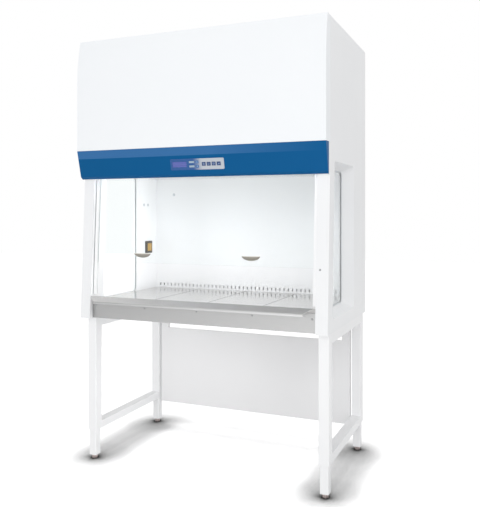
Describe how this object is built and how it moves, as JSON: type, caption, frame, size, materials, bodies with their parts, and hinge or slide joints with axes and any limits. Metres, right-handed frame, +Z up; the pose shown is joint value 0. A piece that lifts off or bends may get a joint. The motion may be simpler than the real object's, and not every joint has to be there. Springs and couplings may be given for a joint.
{
  "type": "biosafety cabinet",
  "caption": "Floor-standing biosafety cabinet with sliding sash, side windows, raked keypad band, lift-out trays, armrest and a telescoping open stand.",
  "frame": {"origin": "on the floor, under the middle of the whole object's box", "axes": "+X to the user's right, +Y to the back, +Z up"},
  "size_m": [1.34, 0.79, 2.213],
  "materials": {
    "white_enamel": "satin powder coat",
    "blue_enamel": "satin powder coat",
    "stainless": "fine brushed stainless sheet",
    "bare_steel": "zinc plated steel",
    "aluminium": "anodised",
    "clear_glass": "laminated safety glass",
    "lamp_glass": "opal coated tube",
    "grey_rubber": "matt seal",
    "panel_plastic": "printed film over plate",
    "key_plastic": "satin key cap",
    "pull_plastic": "satin moulding",
    "dark_plastic": "fine textured moulding",
    "amber_plastic": "smooth moulding",
    "filter_media": "pleated fibre in a frame"
  },
  "bodies": {
    "cabinet": {"side_panel_left": "white_enamel", "side_panel_right": "white_enamel", "inner_wall_left": "white_enamel", "inner_wall_right": "white_enamel", "back_panel": "white_enamel", "rear_wall": "white_enamel", "top_panel": "white_enamel", "front_cover": "white_enamel", "control_fascia": "blue_enamel", "control_plate": "panel_plastic", "base_pan": "stainless", "front_apron": "stainless", "fasteners": "bare_steel", "window_panes": "clear_glass", "window_gaskets": "grey_rubber", "sash_guides": "aluminium", "supply_filter": "filter_media", "exhaust_filter": "filter_media", "ceiling_grille": "white_enamel", "plenum_wall": "bare_steel", "blower_housing": "bare_steel", "blower_motor": "dark_plastic", "lamp_fitting": "white_enamel", "lamp_tubes": "lamp_glass", "outlet_box": "dark_plastic", "exhaust_guard": "white_enamel", "side_frame_left": "white_enamel", "side_frame_right": "white_enamel", "rear_cross_rail": "white_enamel", "rear_panel": "white_enamel", "mains_inlet": "dark_plastic"},
    "sash": {"sash_glass": "clear_glass", "sash_handles": "pull_plastic", "sash_top_bar": "aluminium"},
    "counterweight_left": {"counterweight_left": "bare_steel"},
    "counterweight_right": {"counterweight_right": "bare_steel"},
    "balance_shaft": {"balance_shaft": "bare_steel"},
    "blower_wheel": {"blower_wheel": "aluminium"},
    "armrest": {"armrest": "stainless"},
    "outlet_flap": {"outlet_flap": "amber_plastic"},
    "square_key_1": {"square_key_1": "key_plastic"},
    "square_key_2": {"square_key_2": "key_plastic"},
    "square_key_3": {"square_key_3": "key_plastic"},
    "square_key_4": {"square_key_4": "key_plastic"},
    "menu_key_upper": {"menu_key_upper": "key_plastic"},
    "menu_key_lower": {"menu_key_lower": "key_plastic"},
    "arrow_key_up": {"arrow_key_up": "key_plastic"},
    "arrow_key_down": {"arrow_key_down": "key_plastic"},
    "tray_1": {"tray_1": "stainless"},
    "tray_2": {"tray_2": "stainless"},
    "tray_3": {"tray_3": "stainless"},
    "tray_4": {"tray_4": "stainless"},
    "inner_leg_front_left": {"inner_leg_front_left": "white_enamel"},
    "foot_front_left": {"foot_front_left": "bare_steel"},
    "inner_leg_front_right": {"inner_leg_front_right": "white_enamel"},
    "foot_front_right": {"foot_front_right": "bare_steel"},
    "inner_leg_rear_left": {"inner_leg_rear_left": "white_enamel"},
    "foot_rear_left": {"foot_rear_left": "bare_steel"},
    "inner_leg_rear_right": {"inner_leg_rear_right": "white_enamel"},
    "foot_rear_right": {"foot_rear_right": "bare_steel"}
  },
  "joints": [
    {"name": "sash_slide", "type": "slide", "parent": "cabinet", "child": "sash", "axis": [0, 0.0523, 0.9986], "range_m": [-0.17, 0.3]},
    {"name": "weight_left_slide", "type": "slide", "parent": "cabinet", "child": "counterweight_left", "axis": [0, 0.0523, 0.9986], "range_m": [-0.3, 0.17]},
    {"name": "weight_right_slide", "type": "slide", "parent": "cabinet", "child": "counterweight_right", "axis": [0, 0.0523, 0.9986], "range_m": [-0.3, 0.17]},
    {"name": "balance_shaft_turn", "type": "hinge", "parent": "cabinet", "child": "balance_shaft", "pos_m": [0, -0.2478, 2.083], "axis": [1, 0, 0], "range_deg": [-545, 960]},
    {"name": "blower_spin", "type": "hinge", "parent": "cabinet", "child": "blower_wheel", "pos_m": [0, 0.225, 1.863], "axis": [0, 1, 0], "continuous": true},
    {"name": "armrest_lift", "type": "slide", "parent": "cabinet", "child": "armrest", "axis": [0, -0.9, 0.4359], "range_m": [0, 0.12]},
    {"name": "outlet_flap_hinge", "type": "hinge", "parent": "cabinet", "child": "outlet_flap", "pos_m": [-0.5995, 0.1985, 1.1185], "axis": [0, -1, 0], "range_deg": [0, 90], "stiffness_Nm_per_rad": 0.004, "springref_deg": -11.46},
    {"name": "square_key_1_press", "type": "slide", "parent": "cabinet", "child": "square_key_1", "axis": [0, 0.9735, 0.2286], "range_m": [0, 0.0006], "stiffness_N_per_m": 1500, "springref_m": -0.0005},
    {"name": "square_key_2_press", "type": "slide", "parent": "cabinet", "child": "square_key_2", "axis": [0, 0.9735, 0.2286], "range_m": [0, 0.0006], "stiffness_N_per_m": 1500, "springref_m": -0.0005},
    {"name": "square_key_3_press", "type": "slide", "parent": "cabinet", "child": "square_key_3", "axis": [0, 0.9735, 0.2286], "range_m": [0, 0.0006], "stiffness_N_per_m": 1500, "springref_m": -0.0005},
    {"name": "square_key_4_press", "type": "slide", "parent": "cabinet", "child": "square_key_4", "axis": [0, 0.9735, 0.2286], "range_m": [0, 0.0006], "stiffness_N_per_m": 1500, "springref_m": -0.0005},
    {"name": "menu_key_upper_press", "type": "slide", "parent": "cabinet", "child": "menu_key_upper", "axis": [0, 0.9735, 0.2286], "range_m": [0, 0.0006], "stiffness_N_per_m": 1500, "springref_m": -0.0005},
    {"name": "menu_key_lower_press", "type": "slide", "parent": "cabinet", "child": "menu_key_lower", "axis": [0, 0.9735, 0.2286], "range_m": [0, 0.0006], "stiffness_N_per_m": 1500, "springref_m": -0.0005},
    {"name": "arrow_key_up_press", "type": "slide", "parent": "cabinet", "child": "arrow_key_up", "axis": [0, 0.9735, 0.2286], "range_m": [0, 0.0006], "stiffness_N_per_m": 1500, "springref_m": -0.0005},
    {"name": "arrow_key_down_press", "type": "slide", "parent": "cabinet", "child": "arrow_key_down", "axis": [0, 0.9735, 0.2286], "range_m": [0, 0.0006], "stiffness_N_per_m": 1500, "springref_m": -0.0005},
    {"name": "tray_1_lift", "type": "slide", "parent": "cabinet", "child": "tray_1", "axis": [0, 0, 1], "range_m": [0, 0.1]},
    {"name": "tray_2_lift", "type": "slide", "parent": "cabinet", "child": "tray_2", "axis": [0, 0, 1], "range_m": [0, 0.1]},
    {"name": "tray_3_lift", "type": "slide", "parent": "cabinet", "child": "tray_3", "axis": [0, 0, 1], "range_m": [0, 0.1]},
    {"name": "tray_4_lift", "type": "slide", "parent": "cabinet", "child": "tray_4", "axis": [0, 0, 1], "range_m": [0, 0.1]},
    {"name": "leg_front_left_extend", "type": "slide", "parent": "cabinet", "child": "inner_leg_front_left", "axis": [0, 0, -1], "range_m": [0, 0.207]},
    {"name": "foot_front_left_screw", "type": "slide", "parent": "inner_leg_front_left", "child": "foot_front_left", "axis": [0, 0, -1], "range_m": [0, 0.03]},
    {"name": "leg_front_right_extend", "type": "slide", "parent": "cabinet", "child": "inner_leg_front_right", "axis": [0, 0, -1], "range_m": [0, 0.207]},
    {"name": "foot_front_right_screw", "type": "slide", "parent": "inner_leg_front_right", "child": "foot_front_right", "axis": [0, 0, -1], "range_m": [0, 0.03]},
    {"name": "leg_rear_left_extend", "type": "slide", "parent": "cabinet", "child": "inner_leg_rear_left", "axis": [0, 0, -1], "range_m": [0, 0.207]},
    {"name": "foot_rear_left_screw", "type": "slide", "parent": "inner_leg_rear_left", "child": "foot_rear_left", "axis": [0, 0, -1], "range_m": [0, 0.03]},
    {"name": "leg_rear_right_extend", "type": "slide", "parent": "cabinet", "child": "inner_leg_rear_right", "axis": [0, 0, -1], "range_m": [0, 0.207]},
    {"name": "foot_rear_right_screw", "type": "slide", "parent": "inner_leg_rear_right", "child": "foot_rear_right", "axis": [0, 0, -1], "range_m": [0, 0.03]}
  ],
  "couplings": [
    {"joint": "weight_left_slide", "follows": "sash_slide", "ratio": -1},
    {"joint": "weight_right_slide", "follows": "sash_slide", "ratio": -1},
    {"joint": "balance_shaft_turn", "follows": "sash_slide", "rad_per_m": 55.556},
    {"joint": "leg_front_right_extend", "follows": "leg_front_left_extend", "ratio": 1},
    {"joint": "leg_rear_left_extend", "follows": "leg_front_left_extend", "ratio": 1},
    {"joint": "leg_rear_right_extend", "follows": "leg_front_left_extend", "ratio": 1}
  ]
}
